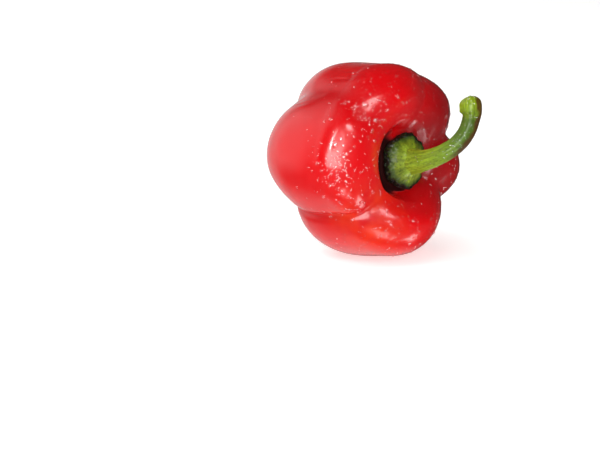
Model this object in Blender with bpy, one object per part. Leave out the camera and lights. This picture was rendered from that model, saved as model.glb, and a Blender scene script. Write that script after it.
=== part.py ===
"""A red bell pepper, picked, lying on one lobe with its stem end tilted up a little.

Metres, +Z up, origin on the surface below the middle of the pepper's box. The stem end points to +X.

The flesh body and the calyx are spheres whose points are moved onto a lobed form. Both are described in
the pepper's own axis frame: +Z runs along the axis to the stem end, the seat of the calyx is at height 0,
and angles run round the axis from the side that the pepper lies on.
"""

import math
from collections import namedtuple

import bmesh
import bpy
import numpy as np

MM = 0.001

# Flesh body
BODY_RADIUS = 46.5 * MM  # at the widest section, over an average lobe
SHOULDER_REACH = 22.0 * MM  # along the axis, from the widest section to an average shoulder
TIP_REACH = 43.0 * MM  # along the axis, from the widest section to an average lobe's end
SIDE_FULLNESS = 0.67  # below 1 the sides are blockier than a ball's
SHOULDER_FULLNESS = 0.85
TIP_FULLNESS = 0.69
TIP_SPREAD = 0.06  # how much wider than a plain form the body is at its tip
TWIST = -12.5  # degrees that the lobes turn between shoulder and tip
GROOVE_ROUNDING = 6.0  # degrees, half the width of a groove's rounded bottom
LOBES_FULL_AT = 32.0 * MM  # radius from which the lobes differ fully in reach
TIP_DIMPLE_DEPTH = 6.0 * MM
TIP_DIMPLE_RADIUS = 14.0 * MM

# Each lobe begins at its own groove and ends at the next one's. All but the angle are in millimetres.
Lobe = namedtuple("Lobe", "groove_angle groove_top groove_tip saddle swell shoulder tip")
LOBES = (
    Lobe(-55.0, 9.0, 6.0, 6.5, -1.5, 5.0, -1.0),  # underneath, the lobe that it lies on
    Lobe(54.0, 6.5, 7.5, 5.5, 0.0, -1.0, -6.0),  # far side, low
    Lobe(104.0, 6.5, 5.5, 5.0, 2.0, -0.5, -6.0),  # far side, high
    Lobe(153.0, 3.0, 3.0, 3.0, 0.0, 2.5, 8.0),  # on top
    Lobe(223.0, 1.5, 5.0, 2.0, 3.5, -4.0, 5.0),  # near side
)

# Calyx and the seat that it sits in
CALYX_RADIUS = 12.9 * MM
CALYX_HEIGHT = 6.0 * MM  # from its underside to the flat that the stem grows from
CALYX_RIM = 1.3 * MM  # thickness at the edge
CALYX_LOBES = 7
CALYX_SCALLOP = 0.5 * MM
CALYX_CLEARANCE = 0.6 * MM  # round the rim, to the seat's wall
GAP = 0.3 * MM  # between pieces that meet
SEAT_DEPTH = 3.0 * MM  # height of the steep wall round the seat
SEAT_WALL = 4.5 * MM  # width of that wall
SEAT_WIDER = 3.0 * MM  # how much further out the wall stands on the near side
SEAT_WIDER_AT = 267.0  # degrees
HOLLOW_DEPTH = 10.0 * MM  # of the wide hollow between the shoulders
HOLLOW_WIDTH = 11.0 * MM

# Stem
STEM_RADIUS = 3.9 * MM
STEM_FOOT_RADIUS = 6.3 * MM
STEM_FOOT_LENGTH = 6.0 * MM  # over which the foot's flare dies away
STEM_KNOB_RADIUS = 5.1 * MM
STEM_KNOB_LENGTH = 9.0 * MM
STEM_LENGTH = 50.0 * MM  # along its curve
STEM_STRAIGHT = 3.0 * MM
STEM_BEND = 106.0  # degrees from the pepper's axis at the cut end
STEM_LEAN = (47.0, 10.0)  # degrees from upward, towards the far side, at the foot and at the cut end
STEM_LEAN_SPAN = (0.4, 0.9)  # shares of the stem's length between which the lean changes

# Pose
TILT = 8.0  # degrees, the axis above level
REST_CUT = 0.6 * MM  # depth of the flat that the pepper rests on

# Mesh sizes
BODY_SEGMENTS = 64
BODY_RINGS = 46
CALYX_SEGMENTS = 42
CALYX_RINGS = 18
STEM_POINTS = 26
OUTLINE_STEPS = 600  # for measuring along the body's outline

SEAT_RADIUS = CALYX_RADIUS + CALYX_SCALLOP + CALYX_CLEARANCE
SEAT_BELOW_SHOULDER = HOLLOW_DEPTH + SEAT_DEPTH
MEAN_SHOULDER = SHOULDER_REACH + MM * sum(lobe.shoulder for lobe in LOBES) / len(LOBES)
MEAN_TIP = TIP_REACH + MM * sum(lobe.tip for lobe in LOBES) / len(LOBES)
WIDEST_HEIGHT = SEAT_BELOW_SHOULDER - MEAN_SHOULDER  # of the widest section, from the seat


def smooth(x):
    """0 to 1 with level ends, for x from 0 to 1."""
    x = np.clip(x, 0.0, 1.0)
    return x * x * (3.0 - 2.0 * x)


def clear_scene():
    for obj in list(bpy.data.objects):
        bpy.data.objects.remove(obj, do_unlink=True)


def new_collection(name):
    collection = bpy.data.collections.new(name)
    bpy.context.scene.collection.children.link(collection)
    return collection


def new_material(name, colour, roughness):
    material = bpy.data.materials.new(name)
    material.use_nodes = True
    shader = material.node_tree.nodes["Principled BSDF"]
    shader.inputs["Base Color"].default_value = (*colour, 1.0)
    shader.inputs["Roughness"].default_value = roughness
    shader.inputs["Metallic"].default_value = 0.0
    return material


def lobed(angle):
    """What the lobes say at these angles: (groove share, groove depths, saddle, swell, shoulder, tip)."""
    grooves = np.array([lobe.groove_angle for lobe in LOBES])
    ends = np.append(grooves, grooves[0] + 360.0)
    angle = (angle - grooves[0]) % 360.0 + grooves[0]
    index = np.clip(np.searchsorted(ends, angle, side="right") - 1, 0, len(LOBES) - 1)
    middle = (ends[index] + ends[index + 1]) / 2
    half = (ends[index + 1] - ends[index]) / 2
    across = (angle - middle) / half

    # The groove's share is 1 at a groove and 0 along a lobe's crest.
    def eased(away):
        return np.sqrt(away**2 + GROOVE_ROUNDING**2) - GROOVE_ROUNDING

    share = np.clip(1.0 - eased((1.0 - np.abs(across)) * half) / eased(half), 0.0, 1.0) ** 2

    nearest = np.where(across < 0.0, index, (index + 1) % len(LOBES))
    grooved = [np.array([getattr(lobe, name) for lobe in LOBES])[nearest] * MM
               for name in ("groove_top", "groove_tip", "saddle")]

    # Sizes that belong to a crest pass smoothly from each lobe's middle to the next one's.
    crests = (ends[:-1] + ends[1:]) / 2
    turned = (angle - crests[0]) % 360.0 + crests[0]
    around = np.append(crests, crests[0] + 360.0)
    start = np.clip(np.searchsorted(around, turned, side="right") - 1, 0, len(LOBES) - 1)
    part = smooth((turned - around[start]) / (around[start + 1] - around[start]))
    following = (start + 1) % len(LOBES)
    crested = []
    for name in ("swell", "shoulder", "tip"):
        values = np.array([getattr(lobe, name) for lobe in LOBES]) * MM
        crested.append(values[start] * (1.0 - part) + values[following] * part)
    return share, *grooved, *crested


def body_point(angle, polar):
    """Points of the flesh surface, for angles in degrees and polar angles from the stem end in radians."""
    cosine, sine = np.cos(polar), np.clip(np.sin(polar), 0.0, 1.0)
    top = cosine > 0.0
    reach = np.where(top, np.abs(cosine) ** SHOULDER_FULLNESS, -(np.abs(cosine) ** TIP_FULLNESS))
    towards_tip = (1.0 - reach) / 2
    share, groove_top, groove_tip, saddle, swell, shoulder, tip = lobed(angle - TWIST * towards_tip)

    groove = groove_top + (groove_tip - groove_top) * smooth(towards_tip)
    spread = 1.0 + TIP_SPREAD * np.clip(-reach, 0.0, 1.0)
    radius = (BODY_RADIUS + swell - groove * share) * sine**SIDE_FULLNESS * spread

    # Lobes differ only outside the seat, so that the seat and the tip's middle are common to all.
    outside = smooth((radius - SEAT_RADIUS) / (LOBES_FULL_AT - SEAT_RADIUS))
    shoulder_reach = MEAN_SHOULDER + (SHOULDER_REACH + shoulder - MEAN_SHOULDER - saddle * share) * outside
    tip_reach = MEAN_TIP + (TIP_REACH + tip - MEAN_TIP - groove_tip * share) * outside
    height = np.where(top, reach * shoulder_reach, reach * tip_reach)

    upper = smooth(2.0 * reach)
    hollow = np.exp(-((np.clip(radius - SEAT_RADIUS, 0.0, None) / HOLLOW_WIDTH) ** 2))
    wider = SEAT_WIDER * np.clip(np.cos(np.radians(angle - SEAT_WIDER_AT)), 0.0, 1.0)
    floor = 1.0 - smooth((radius - SEAT_RADIUS - wider) / SEAT_WALL)
    dimple = TIP_DIMPLE_DEPTH * np.exp(-((radius / TIP_DIMPLE_RADIUS) ** 2)) * smooth(-2.0 * reach)
    height += WIDEST_HEIGHT - (HOLLOW_DEPTH * hollow + SEAT_DEPTH * floor) * upper + dimple

    turn = np.radians(angle)
    return np.stack([radius * np.cos(turn), radius * np.sin(turn), height], axis=-1)


def body_rings(share):
    """Polar angles that space the rings evenly along the body's outline, for shares from 0 to 1."""
    polar = np.linspace(0.0, math.pi, OUTLINE_STEPS)
    outline = body_point(np.full_like(polar, SEAT_WIDER_AT), polar)
    steps = np.linalg.norm(np.diff(outline, axis=0), axis=1)
    along = np.concatenate([[0.0], np.cumsum(steps)])
    return np.interp(share, along / along[-1], polar)


def calyx_point(angle, share):
    """Points of the calyx, from the middle of its top to the middle of its underside."""
    outline = np.array([
        (0.0, CALYX_HEIGHT),
        (STEM_FOOT_RADIUS + GAP, CALYX_HEIGHT),
        (0.68 * CALYX_RADIUS, 0.60 * CALYX_HEIGHT),
        (0.86 * CALYX_RADIUS, 0.20 * CALYX_HEIGHT + CALYX_RIM),
        (CALYX_RADIUS - CALYX_RIM / 2, CALYX_RIM + GAP),
        (CALYX_RADIUS, CALYX_RIM / 2 + GAP),
        (CALYX_RADIUS - CALYX_RIM / 2, GAP),
        (0.0, GAP),
    ])
    steps = np.linalg.norm(np.diff(outline, axis=0), axis=1)
    along = np.concatenate([[0.0], np.cumsum(steps)])
    radius = np.interp(share * along[-1], along, outline[:, 0])
    height = np.interp(share * along[-1], along, outline[:, 1])
    scallop = CALYX_SCALLOP * np.cos(np.radians(angle) * CALYX_LOBES)
    radius = radius + scallop * smooth((radius / CALYX_RADIUS - 0.6) / 0.4)
    turn = np.radians(angle)
    return np.stack([radius * np.cos(turn), radius * np.sin(turn), height], axis=-1)


def shaped_sphere(name, segments, rings, place, collection, material):
    """A sphere whose points place(angle, share from the top) moves."""
    mesh = bpy.data.meshes.new(name)
    ball = bmesh.new()
    bmesh.ops.create_uvsphere(ball, u_segments=segments, v_segments=rings, radius=1.0)
    points = np.array([vertex.co[:] for vertex in ball.verts])
    angle = np.degrees(np.arctan2(points[:, 1], points[:, 0]))
    share = np.arccos(np.clip(points[:, 2], -1.0, 1.0)) / math.pi
    for vertex, place_now in zip(ball.verts, place(angle, share)):
        vertex.co = place_now
    ball.to_mesh(mesh)
    ball.free()
    mesh.materials.append(material)
    mesh.shade_smooth()
    obj = bpy.data.objects.new(name, mesh)
    collection.objects.link(obj)
    return obj


def stem_radius(along):
    """The stem's radius at a distance along its curve."""
    foot = (STEM_FOOT_RADIUS - STEM_RADIUS) * math.exp(-along / STEM_FOOT_LENGTH)
    knob = (STEM_KNOB_RADIUS - STEM_RADIUS) * smooth(1.0 - (STEM_LENGTH - along) / STEM_KNOB_LENGTH)
    return STEM_RADIUS + foot + float(knob)


def stem_route():
    """Points along the stem's middle line, with equal steps along its curve."""
    step = STEM_LENGTH / (STEM_POINTS - 1)
    lean_from, lean_to = STEM_LEAN_SPAN
    point = np.array([0.0, 0.0, CALYX_HEIGHT + GAP])
    route = [point]
    for index in range(STEM_POINTS - 1):
        along = (index + 0.5) * step
        bend = math.radians(STEM_BEND) * max(0.0, (along - STEM_STRAIGHT) / (STEM_LENGTH - STEM_STRAIGHT))
        late = float(smooth((along / STEM_LENGTH - lean_from) / (lean_to - lean_from)))
        lean = math.radians(STEM_LEAN[0] + (STEM_LEAN[1] - STEM_LEAN[0]) * late)
        heading = np.array([
            -math.sin(bend) * math.cos(lean),
            math.sin(bend) * math.sin(lean),
            math.cos(bend),
        ])
        point = point + heading * step
        route.append(point)
    return route


def make_stem(collection, material):
    curve = bpy.data.curves.new("stem", "CURVE")
    curve.dimensions = "3D"
    curve.bevel_depth = STEM_RADIUS
    curve.bevel_resolution = 4
    curve.use_fill_caps = True
    spline = curve.splines.new("POLY")
    route = stem_route()
    spline.points.add(len(route) - 1)
    step = STEM_LENGTH / (STEM_POINTS - 1)
    for index, (point, place) in enumerate(zip(spline.points, route)):
        point.co = (*place, 1.0)
        point.radius = stem_radius(index * step) / STEM_RADIUS
    spline.use_smooth = True
    curve.materials.append(material)
    stem = bpy.data.objects.new("stem", curve)
    collection.objects.link(stem)
    return stem


def world_points(obj):
    """The object's evaluated points in the world, as an array."""
    bpy.context.view_layer.update()
    evaluated = obj.evaluated_get(bpy.context.evaluated_depsgraph_get())
    mesh = evaluated.to_mesh()
    points = np.array([(evaluated.matrix_world @ vertex.co)[:] for vertex in mesh.vertices])
    evaluated.to_mesh_clear()
    return points


def lay_down(axis, fruit, pieces):
    """Tilts the axis, then sets it so that the body reaches REST_CUT below the surface."""
    axis.rotation_euler = (0.0, math.radians(90.0 - TILT), 0.0)
    points = np.concatenate([world_points(piece) for piece in pieces])
    middle = (points.min(axis=0) + points.max(axis=0)) / 2
    lowest = world_points(fruit)[:, 2].min()
    axis.location = (-middle[0], -middle[1], -lowest - REST_CUT)
    bpy.context.view_layer.update()


def cut_rest(fruit, cutters):
    """Takes off what is below the surface, which leaves the small flat."""
    size = 4 * BODY_RADIUS
    bpy.ops.mesh.primitive_cube_add(size=size, location=(0.0, 0.0, -size / 2))
    ground = bpy.context.active_object
    ground.name = "ground_cutter"
    ground.hide_render = True
    ground.display_type = "WIRE"
    for collection in list(ground.users_collection):
        collection.objects.unlink(ground)
    cutters.objects.link(ground)
    cut = fruit.modifiers.new("rest_flat", "BOOLEAN")
    cut.operation = "DIFFERENCE"
    cut.object = ground


def build():
    clear_scene()
    pepper = new_collection("bell_pepper")
    cutters = new_collection("cutters")

    axis = bpy.data.objects.new("pepper_axis", None)
    pepper.objects.link(axis)

    skin = new_material("red_skin", (0.72, 0.012, 0.014), 0.28)
    cap = new_material("green_calyx", (0.10, 0.19, 0.025), 0.5)
    stalk = new_material("green_stem", (0.26, 0.42, 0.035), 0.42)

    fruit = shaped_sphere(
        "fruit", BODY_SEGMENTS, BODY_RINGS,
        lambda angle, share: body_point(angle, body_rings(share)), pepper, skin,
    )
    calyx = shaped_sphere("calyx", CALYX_SEGMENTS, CALYX_RINGS, calyx_point, pepper, cap)
    stem = make_stem(pepper, stalk)
    for piece in (fruit, calyx, stem):
        piece.parent = axis
    lay_down(axis, fruit, (fruit, calyx, stem))
    cut_rest(fruit, cutters)


build()
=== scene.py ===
import math

import bpy
import numpy as np
from mathutils import Matrix, Vector, noise


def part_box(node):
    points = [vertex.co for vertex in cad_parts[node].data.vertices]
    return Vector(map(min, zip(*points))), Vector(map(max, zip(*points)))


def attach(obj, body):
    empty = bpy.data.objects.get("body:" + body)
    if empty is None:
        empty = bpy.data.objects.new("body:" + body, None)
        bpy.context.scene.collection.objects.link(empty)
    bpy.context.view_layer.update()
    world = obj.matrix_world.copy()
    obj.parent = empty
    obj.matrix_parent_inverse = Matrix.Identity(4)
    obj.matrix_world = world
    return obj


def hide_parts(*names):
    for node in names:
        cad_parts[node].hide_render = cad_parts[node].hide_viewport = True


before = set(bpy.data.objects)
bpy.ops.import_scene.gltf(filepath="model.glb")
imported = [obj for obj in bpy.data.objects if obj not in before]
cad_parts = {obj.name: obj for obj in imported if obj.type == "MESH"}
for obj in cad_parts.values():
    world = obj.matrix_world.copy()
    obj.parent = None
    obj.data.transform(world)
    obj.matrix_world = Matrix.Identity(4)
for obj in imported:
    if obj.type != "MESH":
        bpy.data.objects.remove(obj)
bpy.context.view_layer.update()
print("frame loaded:", ", ".join(sorted(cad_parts)))

metresPerMm = 0.001


# sRGB hex to the linear colour that shaders use
def linearColour(hexColour):
    shares = [int(hexColour[start:start + 2], 16) / 255 for start in (1, 3, 5)]
    return [v / 12.92 if v <= 0.04045 else ((v + 0.055) / 1.055) ** 2.4 for v in shares] + [1.0]


# A node with its settings; an input takes a number, a colour or another node's output.
def addNode(tree, kind, inputs=None, ramp=None, **settings):
    node = tree.nodes.new("ShaderNode" + kind)
    for name, value in settings.items():
        setattr(node, name, value)
    for name, value in (inputs or {}).items():
        if isinstance(value, bpy.types.NodeSocket):
            tree.links.new(value, node.inputs[name])
        else:
            node.inputs[name].default_value = value
    for index, (place, colour) in enumerate(ramp or []):
        elements = node.color_ramp.elements
        element = elements[index] if index < 2 else elements.new(place)
        element.position = place
        element.color = linearColour(colour) if isinstance(colour, str) else (colour, colour, colour, 1.0)
    return node


def newMaterial(name):
    material = bpy.data.materials.new(name)
    material.use_nodes = True
    material.node_tree.nodes.clear()
    return material, material.node_tree


# Texture scale whose features are about this many millimetres wide
def featureSize(sizeMm):
    return 1 / (sizeMm * metresPerMm)


# 0 to 1 with level ends, for x from 0 to 1
def smooth(x):
    x = np.clip(x, 0.0, 1.0)
    return x * x * (3.0 - 2.0 * x)


# Degrees from one angle to others, from -180 to 180
def turnFrom(angle, others):
    return (others - angle + 180.0) % 360.0 - 180.0


def unit(vectors):
    return vectors / np.maximum(np.linalg.norm(vectors, axis=-1, keepdims=True), 1e-12)


# Noise at points given in millimetres, with features of the given size
def noiseAt(points, sizeMm, seed):
    shift = Vector((seed * 17.3, seed * 5.1, seed * 11.7))
    flat = (points / sizeMm).reshape(-1, 3)
    values = [noise.noise(Vector(place) + shift) for place in flat.tolist()]
    return np.array(values).reshape(points.shape[:-1])


# A mesh from a grid of points in millimetres, rings x segments, closed round and at both ends
def meshFromRings(name, rings):
    ringCount, segmentCount = rings.shape[:2]
    points = rings.reshape(-1, 3)
    ring, segment = np.meshgrid(np.arange(ringCount - 1), np.arange(segmentCount), indexing="ij")
    following = (segment + 1) % segmentCount
    quads = np.stack([
        ring * segmentCount + segment, ring * segmentCount + following,
        (ring + 1) * segmentCount + following, (ring + 1) * segmentCount + segment,
    ], axis=-1).reshape(-1, 4).tolist()
    fans, middles = [], []
    for first, flip in ((0, True), ((ringCount - 1) * segmentCount, False)):
        middle = len(points) + len(middles)
        middles.append(points[first:first + segmentCount].mean(axis=0))
        for index in range(segmentCount):
            a, b = first + index, first + (index + 1) % segmentCount
            fans.append([middle, b, a] if flip else [middle, a, b])
    points = np.concatenate([points, np.array(middles)])
    mesh = bpy.data.meshes.new(name)
    mesh.from_pydata((points * metresPerMm).tolist(), [], quads + fans)
    mesh.validate()
    mesh.shade_smooth()
    return mesh


# Values for a mesh made from rings; the two points that close its ends take their nearest ring's value
def addValues(mesh, name, values, kind="FLOAT"):
    attribute = mesh.attributes.new(name, kind, "POINT")
    values = np.asarray(values, dtype=np.float32)
    padded = np.concatenate([values, values[:1], values[-1:]])
    attribute.data.foreach_set("vector" if kind == "FLOAT_VECTOR" else "value", padded.ravel())


def addPiece(name, mesh, material):
    mesh.materials.append(material)
    piece = bpy.data.objects.new(name, mesh)
    bpy.context.scene.collection.objects.link(piece)
    return piece


# The flesh body, in millimetres and degrees. The pepper's own axis runs to the stem end and starts at
# the seat of the calyx; angles run round it from the side that the pepper lies on.
body = {
    "radius": 46.5, "shoulderReach": 22.0, "tipReach": 43.0,
    "sideFullness": 0.67, "shoulderFullness": 0.85, "tipFullness": 0.69,
    "tipSpread": 0.06, "twist": -12.5, "grooveRounding": 6.0, "lobesFullAt": 32.0,
    "dimpleDepth": 6.0, "dimpleRadius": 14.0,
    "seatRadius": 14.0, "seatDepth": 3.0, "seatWall": 3.0, "farWall": 7.0,
    "seatWider": 3.0, "seatWiderAt": 267.0,  # how much wider the seat is on the near side
    "nearBase": 0.25, "nearSpread": 1.1,  # how far round the near side's steep wall goes
    # the fold that the calyx's edge hangs over, and how it follows the wider side
    "moatRadius": 14.3, "moatWidth": 1.9, "moatDepth": 3.2,
    "moatShift": 0.45, "moatWiden": 0.2, "moatFarShare": 0.12,
    # where the painted shade in the gap beside the calyx is darkest, its share opposite, and how gradually it
    # darkens
    "gapAt": 295.0, "gapFarShare": 0.3, "gapDarkFrom": 0.3, "gapDarkOver": 0.5,
    "hollowDepth": 10.0, "hollowWidth": 11.0,
    "tilt": 8.0, "restCut": 0.6,
    "segments": 352, "rings": 256, "outlineSteps": 1200,
    # angle of the groove where the lobe begins, groove depth at top and tip, saddle, swell, shoulder,
    # tip, and depth of the fine crease along the groove's bottom
    "lobes": [
        (-53.4, 9.0, 6.0, 6.5, -1.5, 5.0, -1.0, 1.7),
        (54.0, 6.5, 7.5, 5.5, 0.0, -1.0, -6.0, 1.0),
        (104.0, 6.5, 5.5, 5.0, 2.0, -0.5, -6.0, 0.9),
        (153.0, 1.2, 3.0, 3.2, 0.0, 2.5, 8.0, 0.2),
        (223.0, 1.2, 5.0, 2.0, 3.5, -4.0, 5.0, 0.0),
    ],
    "creaseWidth": 3.0, "creaseFrom": 24.0, "creaseOver": 12.0,  # width, and how far out it starts
    "farShade": (94.0, 54.0, 0.85),  # angle, how far round, share: the far lobes are painted a deeper red as shade
    "farShadeFrom": -40.0, "farShadeOver": 30.0,  # height along the axis where the painted shade on the far lobes starts
    "grooveShade": 0.25,  # share of the deeper red painted as shade in the grooves
    "waves": [(26.0, 0.6, 3), (11.0, 0.24, 5), (4.5, 0.035, 8)],  # size, height, seed
    # the waves and dents fade out towards the seat, but not below this height, towards the blossom end
    "unevenFrom": 15.0, "unevenOver": 10.0, "unevenLeast": 0.15, "unevenBelow": -10.0,
    "warmPatches": [  # middle, size, share
        ((24.0, -26.0, 0.0), 16.0, 1.4), ((10.0, 40.0, -14.0), 14.0, 0.9), ((-38.0, 4.0, -20.0), 12.0, 0.6),
    ],
    "mmPerDegree": 0.8, "outerFrom": 22.0,  # for finding a place on the outer skin
    # angle, height along the axis, size along it, size round it, depth (a swelling where negative)
    "dents": [
        (257.0, -1.5, 12.0, 20.0, 2.0), (222.0, 4.5, 8.0, 9.0, 0.7), (237.0, 1.0, 9.0, 6.5, -0.5),
        (314.0, -33.0, 13.0, 16.0, -0.8), (186.0, -36.0, 12.0, 16.0, -0.8),
        (243.0, -36.0, 14.0, 18.0, -0.5),
        (199.0, -9.0, 7.0, 1.5, 0.4), (203.0, -13.0, 6.0, 1.3, 0.35), (195.0, -14.0, 5.0, 1.3, 0.3),
        (221.0, -33.0, 5.0, 1.4, 0.4), (225.0, -29.0, 6.0, 1.4, 0.35),
    ],
}


# Groove share and lobe sizes at these angles
def lobed(angle):
    table = np.array(body["lobes"])
    grooves = table[:, 0]
    count = len(grooves)
    ends = np.append(grooves, grooves[0] + 360.0)
    angle = (angle - grooves[0]) % 360.0 + grooves[0]
    index = np.clip(np.searchsorted(ends, angle, side="right") - 1, 0, count - 1)
    middle = (ends[index] + ends[index + 1]) / 2
    half = (ends[index + 1] - ends[index]) / 2
    across = (angle - middle) / half
    rounding = body["grooveRounding"]

    def eased(away):
        return np.sqrt(away ** 2 + rounding ** 2) - rounding

    share = np.clip(1.0 - eased((1.0 - np.abs(across)) * half) / eased(half), 0.0, 1.0) ** 2
    nearest = np.where(across < 0.0, index, (index + 1) % count)
    grooved = [table[nearest, column] for column in (1, 2, 3)]
    crease = table[nearest, 7] * np.exp(-(((1.0 - np.abs(across)) * half / body["creaseWidth"]) ** 2))
    crests = (ends[:-1] + ends[1:]) / 2
    turned = (angle - crests[0]) % 360.0 + crests[0]
    around = np.append(crests, crests[0] + 360.0)
    start = np.clip(np.searchsorted(around, turned, side="right") - 1, 0, count - 1)
    part = smooth((turned - around[start]) / (around[start + 1] - around[start]))
    following = (start + 1) % count
    crested = [table[start, column] * (1.0 - part) + table[following, column] * part for column in (4, 5, 6)]
    return share, grooved, crested, crease


# Points of the skin, and how deep in a groove each is, for angles in degrees and polar angles in radians
def bodyPoint(angle, polar):
    cosine, sine = np.cos(polar), np.clip(np.sin(polar), 0.0, 1.0)
    top = cosine > 0.0
    upReach, downReach = (np.abs(cosine) ** body[name] for name in ("shoulderFullness", "tipFullness"))
    reach = np.where(top, upReach, -downReach)
    towardsTip = (1.0 - reach) / 2
    share, grooved, (swell, shoulder, tip), crease = lobed(angle - body["twist"] * towardsTip)
    grooveTop, grooveTip, saddle = grooved
    table = np.array(body["lobes"])
    meanShoulder = body["shoulderReach"] + table[:, 5].mean()
    meanTip = body["tipReach"] + table[:, 6].mean()
    groove = grooveTop + (grooveTip - grooveTop) * smooth(towardsTip)
    spread = 1.0 + body["tipSpread"] * np.clip(-reach, 0.0, 1.0)
    radius = (body["radius"] + swell - groove * share) * sine ** body["sideFullness"] * spread
    radius = radius - crease * smooth((radius - body["creaseFrom"]) / body["creaseOver"])

    outside = smooth((radius - body["seatRadius"]) / (body["lobesFullAt"] - body["seatRadius"]))
    shoulderNow = meanShoulder + (body["shoulderReach"] + shoulder - meanShoulder - saddle * share) * outside
    tipNow = meanTip + (body["tipReach"] + tip - meanTip - grooveTip * share) * outside
    height = np.where(top, reach * shoulderNow, reach * tipNow)

    upper = smooth(2.0 * reach)
    hollow = np.exp(-((np.clip(radius - body["seatRadius"], 0.0, None) / body["hollowWidth"]) ** 2))
    wider = body["seatWider"] * np.clip(np.cos(np.radians(angle - body["seatWiderAt"])), 0.0, 1.0)
    nearSide = smooth(body["nearBase"] + body["nearSpread"] * np.cos(np.radians(angle - body["seatWiderAt"])))
    wall = body["farWall"] + (body["seatWall"] - body["farWall"]) * nearSide
    floor = 1.0 - smooth((radius - body["seatRadius"] - wider) / wall)
    dimple = body["dimpleDepth"] * np.exp(-((radius / body["dimpleRadius"]) ** 2)) * smooth(-2.0 * reach)
    seatLevel = body["hollowDepth"] + body["seatDepth"]
    height = height + seatLevel - meanShoulder
    fromMoat = radius - body["moatRadius"] - body["moatShift"] * wider
    moat = np.exp(-((fromMoat / (body["moatWidth"] + body["moatWiden"] * wider)) ** 2))
    moat = moat * (body["moatFarShare"] + (1.0 - body["moatFarShare"]) * nearSide)
    sunk = body["hollowDepth"] * hollow + body["seatDepth"] * floor + body["moatDepth"] * moat
    height = height - sunk * upper + dimple
    turn = np.radians(angle)
    points = np.stack([radius * np.cos(turn), radius * np.sin(turn), height], axis=-1)
    # painted shade in the gap beside the calyx, strongest on the side at gapAt
    gapSide = smooth(0.5 + body["nearSpread"] * np.cos(np.radians(angle - body["gapAt"])))
    shaded = body["gapFarShare"] + (1.0 - body["gapFarShare"]) * gapSide
    return points, share * outside, np.maximum(moat, (radius < body["moatRadius"]) * shaded) * upper


# Polar angles that give rings evenly spaced along the outline
def bodyRings():
    polar = np.linspace(0.0, math.pi, body["outlineSteps"])
    outline = bodyPoint(np.full_like(polar, body["seatWiderAt"]), polar)[0]
    along = np.concatenate([[0.0], np.cumsum(np.linalg.norm(np.diff(outline, axis=0), axis=1))])
    share = (np.arange(body["rings"]) + 0.5) / body["rings"]
    return np.interp(share, along / along[-1], polar)


def gridNormals(points):
    alongRing = np.roll(points, -1, axis=1) - np.roll(points, 1, axis=1)
    acrossRings = np.gradient(points, axis=0)
    return unit(np.cross(acrossRings, alongRing))


tiltNow = math.radians(body["tilt"])
acrossAxis = np.array([math.sin(tiltNow), 0.0, -math.cos(tiltNow)])  # angle 0, the side it lies on
alongAxis = np.array([math.cos(tiltNow), 0.0, math.sin(tiltNow)])


# From the pepper's own axis to the row frame, before it is set down
def laid(points):
    level = np.array([0.0, 1.0, 0.0])
    return points[..., :1] * acrossAxis + points[..., 1:2] * level + points[..., 2:] * alongAxis


polarAngles = bodyRings()
roundAngles = np.arange(body["segments"]) / body["segments"] * 360.0
gridAngle, gridPolar = np.meshgrid(roundAngles, polarAngles)
plainSkin, grooveShare, seatShade = bodyPoint(gridAngle, gridPolar)
skinNormal = gridNormals(plainSkin)

plainLaid = laid(plainSkin)
fruitLow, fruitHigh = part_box("fruit")
fruitMiddle = (np.array(fruitLow) + np.array(fruitHigh)) / 2 / metresPerMm
plainMiddle = (plainLaid.reshape(-1, 3).min(axis=0) + plainLaid.reshape(-1, 3).max(axis=0)) / 2
seatPlace = np.array([
    fruitMiddle[0] - plainMiddle[0], fruitMiddle[1] - plainMiddle[1],
    -plainLaid[..., 2].min() - body["restCut"],
])
print("seat of the calyx at", [round(v, 2) for v in seatPlace], "mm")

fromAxis = np.hypot(plainSkin[..., 0], plainSkin[..., 1])
skinHeight = plainSkin[..., 2]


# Index of the point of the outer skin nearest to an angle and a height along the axis
def skinSpot(angle, level):
    off = (turnFrom(angle, gridAngle) * body["mmPerDegree"]) ** 2 + (skinHeight - level) ** 2
    return int(np.argmin(off + 1e6 * (fromAxis < body["outerFrom"])))


awayFromSeat = smooth((fromAxis - body["unevenFrom"]) / body["unevenOver"])
awayFromSeat = awayFromSeat + (skinHeight < body["unevenBelow"])
lift = sum(height * noiseAt(plainSkin, size, seed) for size, height, seed in body["waves"])
for angle, level, sizeAlong, sizeRound, depth in body["dents"]:
    spot = skinSpot(angle, level)
    along = np.hypot(skinHeight - skinHeight.ravel()[spot], fromAxis - fromAxis.ravel()[spot])
    across = np.radians(turnFrom(angle, gridAngle)) * fromAxis
    lift = lift - depth * np.exp(-((along / sizeAlong) ** 2) - (across / sizeRound) ** 2)
skinPoints = plainSkin + skinNormal * (lift * np.clip(awayFromSeat, body["unevenLeast"], 1.0))[..., None]
skinPlaced = laid(skinPoints) + seatPlace
skinPlaced[..., 2] = np.maximum(skinPlaced[..., 2], 0.0)
print("skin surface:", skinPlaced.shape[0] * skinPlaced.shape[1], "points")


# Waxed pepper skin: a smooth cuticle over red flesh. The wax gives a broad satin sheen with soft-edged
# highlights, and light goes a little way into the flesh, so that shaded sides stay a warm red. The gap
# beside the calyx is dull and painted very dark red as shade, and nothing shines in it.
skinLook = {
    "red": "#d8080f", "shadedRed": "#8e070d", "orangeRed": "#de300c", "gapShadeMaroon": "#2a0a0a",
    "roughness": 0.22, "smoother": 0.04, "rougher": 0.05, "ior": 1.45, "specular": 0.5,
    "coat": 0.35, "coatRoughness": 0.09,
    "gapRougher": 0.6, "gapSpecularLoss": 0.45,
    "mottleMm": 16.0, "poreMm": 0.9, "waxMm": 3.5,  # real pores are finer, and drawn coarser to show
    "poreHeightMm": 0.08, "waxHeightMm": 0.25,
}


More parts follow.
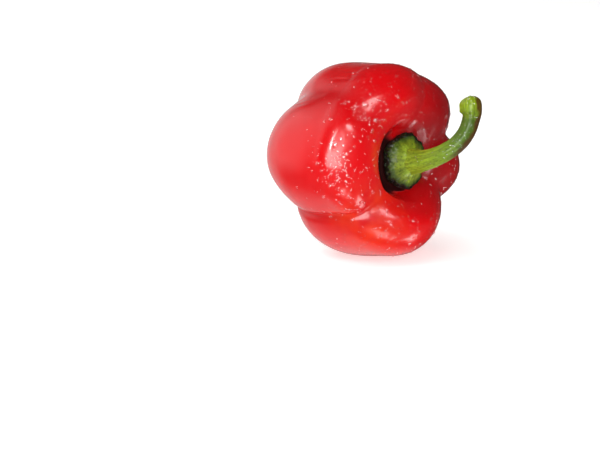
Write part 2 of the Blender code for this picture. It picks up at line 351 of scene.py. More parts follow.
def makeSkin():
    material, tree = newMaterial("waxed_pepper_skin")
    place = addNode(tree, "TexCoord").outputs["Object"]
    groove = addNode(tree, "Attribute", attribute_name="grooveShare").outputs["Fac"]
    warmth = addNode(tree, "Attribute", attribute_name="warmth").outputs["Fac"]
    seatShadeNow = addNode(tree, "Attribute", attribute_name="seatShade").outputs["Fac"]
    mottle = addNode(tree, "TexNoise", {
        "Vector": place, "Scale": featureSize(skinLook["mottleMm"]), "Detail": 3.0, "Roughness": 0.55,
    }).outputs["Fac"]
    patches = addNode(tree, "ValToRGB", {"Fac": mottle}, ramp=[(0.35, 0.0), (0.68, 1.0)]).outputs["Color"]
    # painted shade: the grooves and the far lobes turn a deeper red
    deeper = addNode(tree, "Mix", {
        0: groove, 6: linearColour(skinLook["red"]), 7: linearColour(skinLook["shadedRed"]),
    }, data_type="RGBA").outputs[2]
    warmShare = addNode(tree, "Math", {0: patches, 1: warmth}, operation="MULTIPLY").outputs[0]
    warmed = addNode(tree, "Mix", {0: warmShare, 6: deeper, 7: linearColour(skinLook["orangeRed"])},
                     data_type="RGBA").outputs[2]
    # painted shade: the gap beside the calyx is coloured very dark red
    coloured = addNode(tree, "Mix", {0: seatShadeNow, 6: warmed, 7: linearColour(skinLook["gapShadeMaroon"])},
                       data_type="RGBA").outputs[2]
    pores = addNode(tree, "TexNoise", {
        "Vector": place, "Scale": featureSize(skinLook["poreMm"]), "Detail": 2.0,
    }).outputs["Fac"]
    wax = addNode(tree, "TexNoise", {
        "Vector": place, "Scale": featureSize(skinLook["waxMm"]), "Detail": 3.0,
    }).outputs["Fac"]
    waxBump = addNode(tree, "Bump", {
        "Strength": 0.12, "Distance": skinLook["waxHeightMm"] * metresPerMm, "Height": wax,
    }).outputs["Normal"]
    poreBump = addNode(tree, "Bump", {
        "Strength": 0.10, "Distance": skinLook["poreHeightMm"] * metresPerMm,
        "Height": pores, "Normal": waxBump,
    }).outputs["Normal"]
    sheenSpread = addNode(tree, "MapRange", {
        "Value": wax, "From Min": 0.3, "From Max": 0.7,
        "To Min": skinLook["roughness"] - skinLook["smoother"],
        "To Max": skinLook["roughness"] + skinLook["rougher"],
    }).outputs["Result"]
    dulled = addNode(tree, "Math", {0: seatShadeNow, 1: skinLook["gapRougher"], 2: sheenSpread},
                     operation="MULTIPLY_ADD").outputs[0]
    coatNow = addNode(tree, "Math", {0: seatShadeNow, 1: -skinLook["coat"], 2: skinLook["coat"]},
                      operation="MULTIPLY_ADD").outputs[0]
    gloss = addNode(tree, "Math", {0: seatShadeNow, 1: -skinLook["gapSpecularLoss"], 2: skinLook["specular"]},
                    operation="MULTIPLY_ADD").outputs[0]
    shader = addNode(tree, "BsdfPrincipled", {
        "Base Color": coloured, "Roughness": dulled, "IOR": skinLook["ior"], "Normal": poreBump,
        "Specular IOR Level": gloss,
        "Subsurface Weight": 0.12, "Subsurface Radius": (1.0, 0.12, 0.06), "Subsurface Scale": 0.004,
        "Coat Weight": coatNow, "Coat Roughness": skinLook["coatRoughness"], "Coat IOR": 1.4,
    })
    addNode(tree, "OutputMaterial", {"Surface": shader.outputs["BSDF"]})
    return material


# painted shade: a deeper red lies in the grooves and over the far lobes
skinMesh = meshFromRings("pepper_skin", skinPlaced)
farShadeAt, farShadeSpan, farShadeShare = body["farShade"]
paintedFarShade = farShadeShare * smooth(1.6 - np.abs(turnFrom(farShadeAt, gridAngle)) / farShadeSpan)
paintedFarShade = paintedFarShade * smooth((skinHeight - body["farShadeFrom"]) / body["farShadeOver"])
addValues(skinMesh, "grooveShare", np.maximum(grooveShare * body["grooveShade"], paintedFarShade).ravel())
warmth = sum(
    share * np.exp(-((np.linalg.norm(plainSkin - np.array(place), axis=-1) / size) ** 2))
    for place, size, share in body["warmPatches"])
addValues(skinMesh, "warmth", warmth.ravel())
# painted shade beside the calyx, as the share of its very dark red
gapShade = smooth((seatShade - body["gapDarkFrom"]) / body["gapDarkOver"])
addValues(skinMesh, "seatShade", gapShade.ravel())
pepperSkin = addPiece("pepper_skin", skinMesh, makeSkin())
print("skin made")


# The stem and the calyx. Heights are in millimetres above the seat, along the pepper's own axis.
stem = {
    "radius": 3.9, "footRadius": 6.9, "footLength": 7.2, "knobRadius": 5.1, "knobLength": 9.0,
    "length": 50.0, "straight": 3.0, "bend": 106.0, "lean": (47.0, 10.0), "leanSpan": (0.4, 0.9),
    "start": 6.3, "steps": 400, "segments": 160,
    "footBelow": [(-2.6, 9.0), (-2.0, 8.4), (-1.3, 7.8), (-0.6, 7.3)],  # along and radius, in the calyx
    "domeLength": 4.6, "domePower": 2.3, "lipFrom": 9.2, "lipLength": 2.0,
    "outerAt": 0.0,  # angle opposite the lip
    "outerKnob": 0.75, "innerKnob": 0.5,  # share of the knob's swelling all round, and added at the lip
    "ribs": 5, "ribHeight": 0.045, "ribTwist": 0.012,
    "fineRibs": [(2.4, 0.04, 2), (0.8, 0.02, 4)], "lumps": (1.7, 0.09, 21),  # size, height, seed
    "fibreRound": 4.5, "fibreAlong": 0.06,  # the fibre pattern is stretched lengthwise
    # one side of the curve is brownish and darkened as painted shade: which way, from where, how gradually
    "brownShadeTowards": (0.50, 0.50, 0.70), "brownShadeFrom": 0.30, "brownShadeOver": 0.4, "brownShadeUneven": 0.25,
    "brownShadeAlong": 20.0, "brownShadeAlongOver": 14.0, "brownShadeMost": 0.9,
}
calyx = {
    "outline": [  # radius and height, from under the stem's foot to the middle of the underside
        (4.0, 8.6), (5.6, 8.5), (6.9, 7.7), (8.2, 6.9), (9.6, 6.0), (10.9, 4.9), (12.0, 3.7),
        (12.8, 2.5), (13.1, 1.5), (12.9, 0.7), (12.2, 0.1), (9.0, 0.2), (4.0, 0.3), (0.5, 0.3),
    ],
    # the same points' distance from the dark edge, for the colour
    "fromEdge": [9.4, 9.0, 8.3, 7.2, 5.9, 4.4, 2.5, 0.6, 0.0, 0.0, 0.0, 0.0, 0.0, 0.0],
    "radius": 12.9, "steps": 120, "segments": 288,
    "points": 6, "scallop": 0.6, "scallopMost": 0.7, "rimWave": 0.4, "waveLeast": -0.7,
    "ridges": 9, "ridgeHeight": 0.09,
    "rimFrom": 0.55, "edgeFrom": 0.72,  # shares of the radius where the rim's unevenness and its climb start
    # size, height, seed
    "ragged": [(5.0, 1.1, 6), (1.8, 0.7, 7)], "waveRagged": (3.2, 1.6, 9),
    "lumps": [(2.6, 0.16, 10), (0.9, 0.04, 11)], "crinkle": (1.6, 0.8, 12),
    "crinkleFrom": 11.0, "crinkleOver": 1.5, "crinkleOut": 0.035,
    "climbDarkens": 1.1,
    "lifts": [(148.0, 2.6), (12.0, 1.4)],  # where the edge climbs the wall of the hollow, and how far
}


def stemRadius(along):
    return stem["radius"] + (stem["footRadius"] - stem["radius"]) * np.exp(-along / stem["footLength"])


# Middle line of the stem, and its heading at each step
def stemRoute():
    step = stem["length"] / stem["steps"]
    place = np.array([0.0, 0.0, stem["start"]])
    places, headings = [place], []
    bentLength = stem["length"] - stem["straight"]
    leanFrom, leanTo = stem["leanSpan"]
    for index in range(stem["steps"]):
        along = (index + 0.5) * step
        bend = math.radians(stem["bend"]) * max(0.0, (along - stem["straight"]) / bentLength)
        late = float(smooth((along / stem["length"] - leanFrom) / (leanTo - leanFrom)))
        lean = math.radians(stem["lean"][0] + (stem["lean"][1] - stem["lean"][0]) * late)
        heading = np.array([
            -math.sin(bend) * math.cos(lean), math.sin(bend) * math.sin(lean), math.cos(bend)])
        headings.append(heading)
        place = place + heading * step
        places.append(place)
    headings.append(headings[-1])
    return np.array(places), np.array(headings)


# Coordinates for patterns that follow the fibres: round a circle, and slowly along
def alongFibres(turn, radius, along):
    return np.stack(np.broadcast_arrays(
        np.cos(turn)[None, :] * radius, np.sin(turn)[None, :] * radius, along[:, None]), axis=-1)


# Points of the stem's surface, the pattern coordinates of its fibres, and the distance from the seat
def stemRings():
    places, headings = stemRoute()
    side = np.array([1.0, 0.0, 0.0])  # carried along the curve without twisting
    sides = []
    for heading in headings:
        side = side - heading * (side @ heading)
        side = side / np.linalg.norm(side)
        sides.append(side)
    sides = np.array(sides)
    others = np.cross(headings, sides)
    turn = np.arange(stem["segments"]) / stem["segments"] * 2 * math.pi
    along = np.linspace(0.0, stem["length"], stem["steps"] + 1)
    radius = stemRadius(along)

    # the foot runs on down into the calyx
    footAlong, footRadius = np.array(stem["footBelow"]).T
    places = np.concatenate([places[0] + footAlong[:, None] * headings[0], places])
    radius = np.concatenate([footRadius, radius])
    sides = np.concatenate([np.repeat(sides[:1], len(footAlong), axis=0), sides])
    others = np.concatenate([np.repeat(others[:1], len(footAlong), axis=0), others])
    reach = np.concatenate([footAlong, along])

    # the knob swells gently on the outer side and in a short lip on the inner one, then closes in a dome
    inner = (0.5 - 0.5 * np.cos(turn - math.radians(stem["outerAt"])))[None, :]
    domeStart = stem["length"] - stem["domeLength"]
    outerSwell = smooth(1.0 - (domeStart - reach[:, None]) / stem["knobLength"])
    innerSwell = smooth((reach[:, None] - stem["length"] + stem["lipFrom"]) / stem["lipLength"])
    knob = (outerSwell * (1.0 - inner) + innerSwell * inner) * (stem["knobRadius"] - stem["radius"])
    dome = np.clip((reach[:, None] - domeStart) / stem["domeLength"], 0.0, 0.999)
    knob = knob * (stem["outerKnob"] + stem["innerKnob"] * inner)
    radius = (radius[:, None] + knob) * (1.0 - dome ** stem["domePower"]) ** 0.5

    ribs = stem["ribHeight"] * np.cos(stem["ribs"] * turn[None, :] + 0.6 + reach[:, None] * stem["ribTwist"])
    fine = alongFibres(turn, 6.0, reach * 0.05)
    for size, height, seed in stem["fineRibs"]:
        ribs = ribs + height * noiseAt(fine, size, seed)
    now = radius * (1.0 + ribs)
    rings = places[:, None, :] + now[..., None] * (
        np.cos(turn)[None, :, None] * sides[:, None, :] + np.sin(turn)[None, :, None] * others[:, None, :])
    size, height, seed = stem["lumps"]
    outward = (rings - places[:, None, :]) / now[..., None]
    rings = rings + outward * (height * noiseAt(rings, size, seed))[..., None]
    fibre = alongFibres(turn, stem["fibreRound"], reach * stem["fibreAlong"])
    fromSeat = np.broadcast_to((reach + stem["start"])[:, None], now.shape)
    return rings, fibre, fromSeat


# The same for the calyx, with distances from its dark edge. The rings go from the stem's foot out to the
# rim, and back underneath.
def calyxRings():
    outline = np.array(calyx["outline"])
    along = np.concatenate([[0.0], np.cumsum(np.linalg.norm(np.diff(outline, axis=0), axis=1))])
    reach = np.linspace(0.0, along[-1], calyx["steps"])
    radius = np.interp(reach, along, outline[:, 0])
    height = np.interp(reach, along, outline[:, 1])
    turn = np.arange(calyx["segments"]) / calyx["segments"] * 2 * math.pi
    reached = radius / calyx["radius"]
    outer = smooth((reached - calyx["rimFrom"]) / (1.0 - calyx["rimFrom"]))[:, None]
    jag = np.stack([np.cos(turn) * 10.0, np.sin(turn) * 10.0, np.zeros_like(turn)], axis=-1)
    ragged = sum(tall * noiseAt(jag, size, seed) for size, tall, seed in calyx["ragged"])
    scallop = calyx["scallop"] * (0.5 * np.cos(turn * calyx["points"] + 0.4) + ragged)
    radiusNow = radius[:, None] + np.minimum(scallop[None, :], calyx["scallopMost"]) * outer
    waveSize, waveHeight, waveSeed = calyx["waveRagged"]
    wave = np.cos(turn * calyx["points"] + 2.0) + waveHeight * noiseAt(jag, waveSize, waveSeed)
    wave = calyx["rimWave"] * wave
    climb = sum(
        tall * np.clip(np.cos(turn - math.radians(angle)), 0.0, 1.0) ** 2 for angle, tall in calyx["lifts"])
    edge = smooth((reached - calyx["edgeFrom"]) / (1.0 - calyx["edgeFrom"]))[:, None]
    wave = np.maximum(wave, calyx["waveLeast"])
    heightNow = height[:, None] + wave[None, :] * outer + climb[None, :] * edge
    ridges = calyx["ridgeHeight"] * np.cos(turn * calyx["ridges"] + 1.0)
    ridges = ridges[None, :] * smooth((height[:, None] - 0.5) / 3.0)
    heightNow = np.maximum(heightNow + ridges * smooth((height[:, None] - 1.0) / 0.8), 0.1)
    rings = np.stack([radiusNow * np.cos(turn), radiusNow * np.sin(turn), heightNow], axis=-1)
    upperSide = height[:, None] > 0.6
    lumps = sum(tall * noiseAt(rings, size, seed) for size, tall, seed in calyx["lumps"])
    rings[..., 2] += lumps * upperSide
    crinkleSize, crinkleHeight, crinkleSeed = calyx["crinkle"]
    nearRim = smooth((radius - calyx["crinkleFrom"]) / calyx["crinkleOver"])[:, None]
    crinkle = nearRim * noiseAt(rings, crinkleSize, crinkleSeed)
    rings[..., 2] += crinkleHeight * crinkle * upperSide
    rings[..., :2] *= (1.0 + calyx["crinkleOut"] * crinkle)[..., None]
    fibre = alongFibres(turn, stem["fibreRound"], -radius * stem["fibreAlong"])
    fromEdge = np.interp(reach, along, calyx["fromEdge"])
    fromEdge = fromEdge[:, None] - calyx["climbDarkens"] * climb[None, :] * edge
    return rings, fibre, fromEdge


# Green tissue of the stalk and calyx: fibres run lengthwise under a thin wax, which gives a dull sheen
# with fine streaks. The colour follows how far along the plant a point is, as a share of the way from
# the calyx's dark edge to the stem's cut end.
greenLook = {
    "colours": [
        (0.0, "#0f0e08"), (0.020, "#15170a"), (0.045, "#3f5216"), (0.075, "#52681a"),
        (0.11, "#74861c"), (0.16, "#96b02a"), (0.30, "#90aa26"), (0.45, "#82a126"),
        (0.62, "#56771a"), (0.80, "#527118"), (0.90, "#8fab1f"), (1.0, "#9bb422"),
    ],
    "streakDark": 0.3, "brownAndShade": "#4d2408", "speck": "#27380f",
    "fibreMm": 0.9, "blotchMm": 3.0, "blotchHeightMm": 0.4, "speckMm": 0.9, "plantLength": 56.0,
}


# bumpHeight is in metres; uneven is how far blotches shift the colour along the plant
def makeGreen(name, roughness, bumpHeight, uneven, gloss, wetness):
    material, tree = newMaterial(name)
    place = addNode(tree, "TexCoord").outputs["Object"]
    fromSeat = addNode(tree, "Attribute", attribute_name="fromSeat").outputs["Fac"]
    fibre = addNode(tree, "Attribute", attribute_name="fibre").outputs["Vector"]
    blotches = addNode(tree, "TexNoise", {
        "Vector": place, "Scale": featureSize(greenLook["blotchMm"]), "Detail": 4.0,
    }).outputs["Fac"]
    shifted = addNode(tree, "Math", {0: blotches, 1: uneven, 2: -uneven / 2},
                      operation="MULTIPLY_ADD").outputs[0]
    shareAlong = addNode(tree, "Math", {0: fromSeat, 1: 1 / greenLook["plantLength"], 2: shifted},
                         operation="MULTIPLY_ADD").outputs[0]
    green = addNode(tree, "ValToRGB", {"Fac": shareAlong}, ramp=greenLook["colours"]).outputs["Color"]
    streaks = addNode(tree, "TexNoise", {
        "Vector": fibre, "Scale": 1 / greenLook["fibreMm"], "Detail": 3.0, "Roughness": 0.6,
    }).outputs["Fac"]
    streakShade = addNode(tree, "ValToRGB", {"Fac": streaks},
                          ramp=[(0.36, greenLook["streakDark"]), (0.62, 1.0)]).outputs["Color"]
    striped = addNode(tree, "Mix", {0: 0.6, 6: green, 7: streakShade}, data_type="RGBA",
                      blend_type="MULTIPLY").outputs[2]
    specks = addNode(tree, "TexNoise", {
        "Vector": place, "Scale": featureSize(greenLook["speckMm"]), "Detail": 2.0, "Roughness": 0.7,
    }).outputs["Fac"]
    speckShare = addNode(tree, "ValToRGB", {"Fac": specks}, ramp=[(0.53, 0.0), (0.66, 0.6)]).outputs["Color"]
    specked = addNode(tree, "Mix", {0: speckShare, 6: striped, 7: linearColour(greenLook["speck"])},
                      data_type="RGBA").outputs[2]
    # painted shade and real brownish colour: one side of the stem turns dark brownish
    brownedAndShaded = addNode(tree, "Mix", {
        0: addNode(tree, "Attribute", attribute_name="brownAndShade").outputs["Fac"],
        6: specked, 7: linearColour(greenLook["brownAndShade"])}, data_type="RGBA").outputs[2]
    fibreBump = addNode(tree, "Bump", {
        "Strength": 0.5, "Distance": bumpHeight, "Height": streaks,
    }).outputs["Normal"]
    blotchBump = addNode(tree, "Bump", {
        "Strength": 0.25, "Distance": greenLook["blotchHeightMm"] * metresPerMm, "Height": blotches,
        "Normal": fibreBump,
    }).outputs["Normal"]
    shader = addNode(tree, "BsdfPrincipled", {
        "Base Color": brownedAndShaded, "Roughness": roughness, "IOR": 1.42, "Normal": blotchBump,
        "Subsurface Weight": 0.15, "Subsurface Radius": (0.5, 1.0, 0.15), "Subsurface Scale": 0.0012,
        "Specular IOR Level": gloss, "Coat Weight": wetness, "Coat Roughness": 0.09,
    })
    addNode(tree, "OutputMaterial", {"Surface": shader.outputs["BSDF"]})
    return material


stemPoints, stemFibre, stemFromSeat = stemRings()
stemMesh = meshFromRings("stalk", laid(stemPoints) + seatPlace)
addValues(stemMesh, "fromSeat", stemFromSeat.ravel())
addValues(stemMesh, "fibre", stemFibre.reshape(-1, 3), "FLOAT_VECTOR")
# painted shade, partly real brownish colour, on one side of the stem's curve
stemOutward = unit(stemPoints - stemPoints.mean(axis=1, keepdims=True))
facingOut = (stemOutward * unit(np.array(stem["brownShadeTowards"]))).sum(axis=-1)
facingOut = facingOut - stem["brownShadeFrom"] + stem["brownShadeUneven"] * noiseAt(stemPoints, 3.0, 22)
brownAndShade = smooth(facingOut / stem["brownShadeOver"])
brownAndShade = brownAndShade * smooth((stemFromSeat - stem["brownShadeAlong"]) / stem["brownShadeAlongOver"])
addValues(stemMesh, "brownAndShade", (brownAndShade * stem["brownShadeMost"]).ravel())
stalkGreen = makeGreen(
    "fresh_green_stalk", roughness=0.42, bumpHeight=0.0005, uneven=0.05, gloss=0.22, wetness=0.28)
stalk = addPiece("stalk", stemMesh, stalkGreen)

calyxPoints, calyxFibre, calyxFromSeat = calyxRings()
calyxMesh = meshFromRings("calyx_cap", laid(calyxPoints) + seatPlace)
addValues(calyxMesh, "fromSeat", calyxFromSeat.ravel())
addValues(calyxMesh, "fibre", calyxFibre.reshape(-1, 3), "FLOAT_VECTOR")
calyxGreen = makeGreen(
    "dark_green_calyx", roughness=0.5, bumpHeight=0.0006, uneven=0.12, gloss=0.2, wetness=0.2)
calyxCap = addPiece("calyx_cap", calyxMesh, calyxGreen)
print("stem and calyx made")


# The camera looks at the stem end from the front right, a little above the pepper, and the droplets on
# the stem and the lamps are placed from its directions. Distances are in millimetres.
view = {
    "azimuth": 50.7, "elevation": 12.5, "distance": 900.0, "lens": 114.9,
    "aimLeft": 47.0, "aimDown": 30.1,  # of the calyx
}
azimuth, elevation = math.radians(view["azimuth"]), math.radians(view["elevation"])
towardsCamera = np.array([
    math.cos(elevation) * math.cos(azimuth), -math.cos(elevation) * math.sin(azimuth), math.sin(elevation)])
cameraRight = np.array([math.sin(azimuth), math.cos(azimuth), 0.0])
cameraUp = np.cross(towardsCamera, cameraRight)


# Droplets of clean water: clear low domes, each with a crisp glint.
water = {
    "seed": 11, "count": 1100, "smallest": 0.27, "largest": 0.9, "sizePower": 3.5,  # mostly small ones
    "stemCount": 130, "stemSmallest": 0.25, "stemLargest": 0.55, "stemSizePower": 2,
    "stemUpward": 0.25, "stemFacing": 0.55,  # those on the stem face the camera, a little upward
    "flatness": 0.55, "sunk": 0.12, "depth": 0.2, "uneven": 0.12,  # shares of a droplet's size
    # height along the axis where they start and where they thin out, over what distance, and the thin share
    "wetFrom": -34.0, "wetOver": 26.0, "thinFrom": -14.0, "thinOver": 16.0, "thinShare": 0.35,
    "dryInside": 19.0, "dryBelow": 3.0,  # none in the hollow or near the floor
    "patchMm": 9.0, "patchSeed": 14, "patchLeast": 0.4,
    # where they gather: angle, distance from the axis, height, size, how much denser
    "gathered": [
        (262.0, 46.0, -1.0, 7.5, 7.0), (277.0, 46.0, -4.0, 10.0, 2.0), (224.0, 39.0, 3.5, 5.5, 8.0),
        (220.0, 29.0, 6.8, 3.5, 5.0), (241.0, 33.6, 5.8, 3.0, 5.0), (290.0, 36.0, 1.4, 6.0, 2.0),
        (326.0, 38.0, 3.5, 5.0, 4.0), (309.0, 37.0, 1.0, 4.0, 2.0), (205.0, 36.0, 6.0, 9.0, 1.0),
    ],
    # angle, height along the axis, size
    "big": [(251.0, 0.0, 1.6), (219.0, 4.0, 1.6), (240.5, 6.0, 1.2), (224.0, 6.5, 0.9), (262.0, -8.0, 0.9)],
    "bigSize": 0.6, "ringPoints": (8, 18), "rings": (3, 7),  # of small and big ones
}


# Clear water shows the skin through it. Its glints are finer than the render can show, so the coat
# reflects more than real water does.
def makeWater():
    material, tree = newMaterial("clear_water")
    shader = addNode(tree, "BsdfPrincipled", {
        "Base Color": (1.0, 1.0, 1.0, 1.0), "Roughness": 0.0, "IOR": 1.333, "Transmission Weight": 1.0,
        "Coat Weight": 1.0, "Coat IOR": 2.4, "Coat Roughness": 0.08,
    })
    addNode(tree, "OutputMaterial", {"Surface": shader.outputs["BSDF"]})
    return material


def dropletMesh():
    chance = np.random.default_rng(water["seed"])
    placedNormal = gridNormals(skinPlaced)
    if (placedNormal * (skinPlaced - skinPlaced.reshape(-1, 3).mean(axis=0))).sum() < 0:
        placedNormal = -placedNormal
    spacing = np.linalg.norm(np.roll(skinPlaced, -1, axis=1) - skinPlaced, axis=-1)
    full = smooth((skinHeight - water["thinFrom"]) / water["thinOver"])
    wet = smooth((skinHeight - water["wetFrom"]) / water["wetOver"])
    wet = wet * (water["thinShare"] + (1.0 - water["thinShare"]) * full)
    wet = wet * (fromAxis > water["dryInside"]) * (skinPlaced[..., 2] > water["dryBelow"])
    patches = smooth(0.5 + 1.6 * noiseAt(plainSkin, water["patchMm"], water["patchSeed"]))
    wet = wet * spacing * (water["patchLeast"] + (1.0 - water["patchLeast"]) * patches)
    denser = np.ones_like(wet)
    for angle, out, level, size, share in water["gathered"]:
        centre = np.array([out * math.cos(math.radians(angle)), out * math.sin(math.radians(angle)), level])
        denser = denser + share * np.exp(-((np.linalg.norm(plainSkin - centre, axis=-1) / size) ** 2))
    wet = wet * denser
    weights = (wet / wet.sum()).ravel()
    chosen = chance.choice(weights.size, size=water["count"], replace=False, p=weights)
    places = skinPlaced.reshape(-1, 3)[chosen]
    normals = placedNormal.reshape(-1, 3)[chosen]
    spread = chance.random(water["count"]) ** water["sizePower"]
    sizes = water["smallest"] + (water["largest"] - water["smallest"]) * spread
    stemNormals = stemOutward @ np.array([acrossAxis, [0.0, 1.0, 0.0], alongAxis])
    facing = stemNormals @ unit(towardsCamera + water["stemUpward"] * cameraUp)
    stemWet = np.clip(facing - water["stemFacing"], 0.0, 1.0).ravel()
    stemSpots = chance.choice(stemWet.size, size=water["stemCount"], replace=False, p=stemWet / stemWet.sum())
    places = np.concatenate([places, (laid(stemPoints) + seatPlace).reshape(-1, 3)[stemSpots]])
    normals = np.concatenate([normals, stemNormals.reshape(-1, 3)[stemSpots]])
    spread = chance.random(water["stemCount"]) ** water["stemSizePower"]
    stemSizes = water["stemSmallest"] + (water["stemLargest"] - water["stemSmallest"]) * spread
    sizes = np.concatenate([sizes, stemSizes])
    bigSpots = [skinSpot(angle, level) for angle, level, size in water["big"]]
    places = np.concatenate([places, skinPlaced.reshape(-1, 3)[bigSpots]])
    normals = np.concatenate([normals, placedNormal.reshape(-1, 3)[bigSpots]])
    sizes = np.concatenate([sizes, [size for angle, level, size in water["big"]]])
    points, faces = [], []
    for place, normal, size in zip(places, normals, sizes):
        isBig = int(size > water["bigSize"])
        ringCount, around = water["rings"][isBig], water["ringPoints"][isBig]
        turn = np.arange(around) / around * 2 * math.pi
        rise = np.linspace(0.0, 1.0, ringCount + 1)[:-1] * math.pi / 2
        side = unit(np.cross(normal, [0.3, 0.2, 0.9]))
        other = np.cross(normal, side)
        squash = 1.0 + water["uneven"] * chance.standard_normal(2)
        first = len(points)
        base = place - normal * size * water["sunk"]
        for angle in rise:
            out = size * math.cos(angle)
            up = size * water["flatness"] * math.sin(angle) + size * water["sunk"]
            for turned in turn:
                points.append(base + side * out * math.cos(turned) * squash[0]
                              + other * out * math.sin(turned) * squash[1] + normal * up)
        points.append(base + normal * size * (water["flatness"] + water["sunk"]))
        points.append(base - normal * size * water["depth"])
        top, bottom = len(points) - 2, len(points) - 1
        for level in range(ringCount):
            for index in range(around):
                a = first + level * around + index
                b = first + level * around + (index + 1) % around
                if level < ringCount - 1:
                    faces.append((a, b, b + around, a + around))
                else:
                    faces.append((a, b, top))
        for index in range(around):
            faces.append((first + (index + 1) % around, first + index, bottom))
    mesh = bpy.data.meshes.new("water_droplets")
    mesh.from_pydata((np.array(points) * metresPerMm).tolist(), [], faces)
    mesh.shade_smooth()
    return mesh


droplets = addPiece("water_droplets", dropletMesh(), makeWater())
droplets.visible_shadow = False  # light goes on through clear water
droplets.visible_diffuse = False
print("water made:", len(droplets.data.polygons), "faces")

grownPieces = ((pepperSkin, "fruit", "skin"), (calyxCap, "calyx", "calyx"), (stalk, "stem", "stem"))
for piece, node, slotName in grownPieces:
    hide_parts(node)
    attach(piece, "root")
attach(droplets, "root")


def makeCamera():
    data = bpy.data.cameras.new("view_camera")
    data.lens = view["lens"]
    data.clip_start = 0.05
    data.clip_end = 50.0
    camera = bpy.data.objects.new("view_camera", data)
    bpy.context.scene.collection.objects.link(camera)
    place = seatPlace + towardsCamera * view["distance"]
    aim = seatPlace - cameraRight * view["aimLeft"] - cameraUp * view["aimDown"]
    back = unit(place - aim)
    right = unit(np.cross(cameraUp, back))
    up = np.cross(back, right)
    turned = Matrix([[right[row], up[row], back[row]] for row in range(3)]).to_4x4()
    turned.translation = Vector(place * metresPerMm)
    camera.matrix_world = turned
    bpy.context.scene.camera = camera


# Light and floor. Directions are shares to the right, up and nearer, as seen from the camera. The lamps
# that light the surface are separate from the ones that show as highlights on it.
studio = {
    # name, direction, distance m, width m, height m, watts, lights surfaces, shows as a highlight
    "lamps": [
        ("key_softbox", (0.0, 0.05, 0.98), 1.7, 1.2, 0.62, 20.0, False, True),
        ("front_fill", (0.25, 0.15, 0.95), 1.6, 1.2, 1.2, 15.5, True, False),
        ("left_fill", (-0.88, 0.4, 0.15), 1.6, 1.2, 1.2, 3.0, True, False),
        ("right_fill", (0.75, 0.05, 0.66), 1.6, 1.2, 1.2, 1.5, True, False),
        ("top_fill", (-0.3, 0.75, 0.55), 1.6, 1.4, 1.4, 14.0, True, False),
        ("back_fill", (-0.55, 0.82, -0.15), 1.6, 1.4, 1.4, 9.0, True, False),
        ("sparkle", (-0.16, 0.30, 0.93), 1.5, 0.07, 0.07, 3.0, False, True),
        ("upper_gleam", (0.52, 0.40, 0.755), 1.5, 0.42, 0.32, 5.0, False, True),
        ("low_gleam", (0.27, -0.75, 0.60), 1.2, 0.26, 0.45, 1.8, False, True),
        ("low_right_gleam", (0.66, -0.75, -0.09), 1.2, 0.3, 0.3, 2.0, False, True),
        ("far_gleam", (0.43, -0.82, 0.36), 1.2, 0.06, 0.3, 0.5, False, True),
    ],
    # bright surroundings that only reflections see: direction, (cosine, brightness) at the edge and inside
    "panels": [
        ((-0.90, 0.35, -0.10), (0.70, 0.05), (0.89, 1.15)),
        ((-0.20, -0.75, -0.60), (0.74, 0.05), (0.92, 0.7)),
        ((-0.60, 0.00, -0.80), (0.75, 0.05), (0.90, 0.8)),
    ],
    "target": (-0.005, 0.0, 0.045),  # what the lamps point at, in metres
    "floorColour": "#fafaf9", "floorGlow": 0.6, "floorRadius": 5.0, "floorDrop": 0.0002,
    "domeColour": "#fcfcfc", "domeRadius": 5.4,
}


def addLamp(name, direction, distance, width, height, watts, lights, shows):
    data = bpy.data.lights.new(name, "AREA")
    data.shape = "RECTANGLE"
    data.size = width
    data.size_y = height
    data.energy = watts
    lamp = bpy.data.objects.new(name, data)
    bpy.context.scene.collection.objects.link(lamp)
    away = unit(direction[0] * cameraRight + direction[1] * cameraUp + direction[2] * towardsCamera)
    lamp.location = np.array(studio["target"]) + away * distance
    lamp.rotation_euler = Vector(away).to_track_quat("Z", "Y").to_euler()
    lamp.visible_diffuse = lights
    lamp.visible_glossy = shows


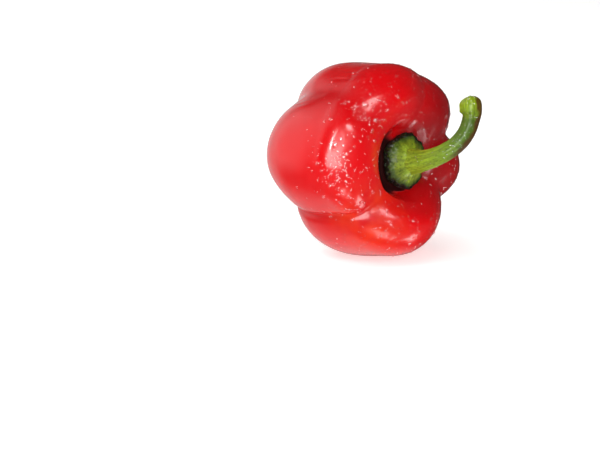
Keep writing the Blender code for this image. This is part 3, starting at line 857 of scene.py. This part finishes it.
def makeStudio():
    for lamp in studio["lamps"]:
        addLamp(*lamp)
    world = bpy.data.worlds.new("studio_surroundings")
    world.use_nodes = True
    tree = world.node_tree
    tree.nodes.clear()
    direction = addNode(tree, "TexCoord").outputs["Generated"]
    shades = []
    for (right, up, nearer), darkest, brightest in studio["panels"]:
        toPanel = unit(right * cameraRight + up * cameraUp + nearer * towardsCamera)
        facing = addNode(tree, "VectorMath", {0: direction, 1: tuple(toPanel)},
                         operation="DOT_PRODUCT").outputs["Value"]
        shades.append(addNode(tree, "ValToRGB", {"Fac": facing}, ramp=[darkest, brightest]).outputs["Color"])
    brighter = shades[0]
    for shade in shades[1:]:
        brighter = addNode(tree, "Mix", {0: 1.0, 6: brighter, 7: shade}, data_type="RGBA",
                           blend_type="LIGHTEN").outputs[2]
    background = addNode(tree, "Background", {"Color": brighter, "Strength": 1.0})
    addNode(tree, "OutputWorld", {"Surface": background.outputs["Background"]})
    world.cycles_visibility.diffuse = False
    bpy.context.scene.world = world

    # matt white card: pale and even, with no shine, and lit enough to stay near white
    floorMaterial, floorTree = newMaterial("matt_white_card")
    floorShader = addNode(floorTree, "BsdfPrincipled", {
        "Base Color": linearColour(studio["floorColour"]), "Roughness": 0.9, "Specular IOR Level": 0.1,
        "Emission Color": linearColour(studio["floorColour"]), "Emission Strength": studio["floorGlow"]})
    addNode(floorTree, "OutputMaterial", {"Surface": floorShader.outputs["BSDF"]})
    bpy.ops.mesh.primitive_circle_add(
        vertices=96, radius=studio["floorRadius"], fill_type="NGON",
        location=(0.0, 0.0, -studio["floorDrop"]))
    floor = bpy.context.active_object
    floor.name = "floor"
    floor.data.materials.append(floorMaterial)
    floor.visible_glossy = False
    floor.visible_shadow = False

    # white cloth lit evenly from behind: it hides the horizon
    domeMaterial, domeTree = newMaterial("lit_white_cloth")
    glow = addNode(domeTree, "Emission", {"Color": linearColour(studio["domeColour"]), "Strength": 1.0})
    addNode(domeTree, "OutputMaterial", {"Surface": glow.outputs["Emission"]})
    bpy.ops.mesh.primitive_uv_sphere_add(segments=48, ring_count=24, radius=studio["domeRadius"])
    dome = bpy.context.active_object
    dome.name = "backdrop"
    dome.data.materials.append(domeMaterial)
    for reach in ("diffuse", "glossy", "transmission", "shadow", "volume_scatter"):
        setattr(dome, "visible_" + reach, False)


makeCamera()
makeStudio()
bpy.context.scene.view_settings.view_transform = "Standard"
print("camera and studio made")
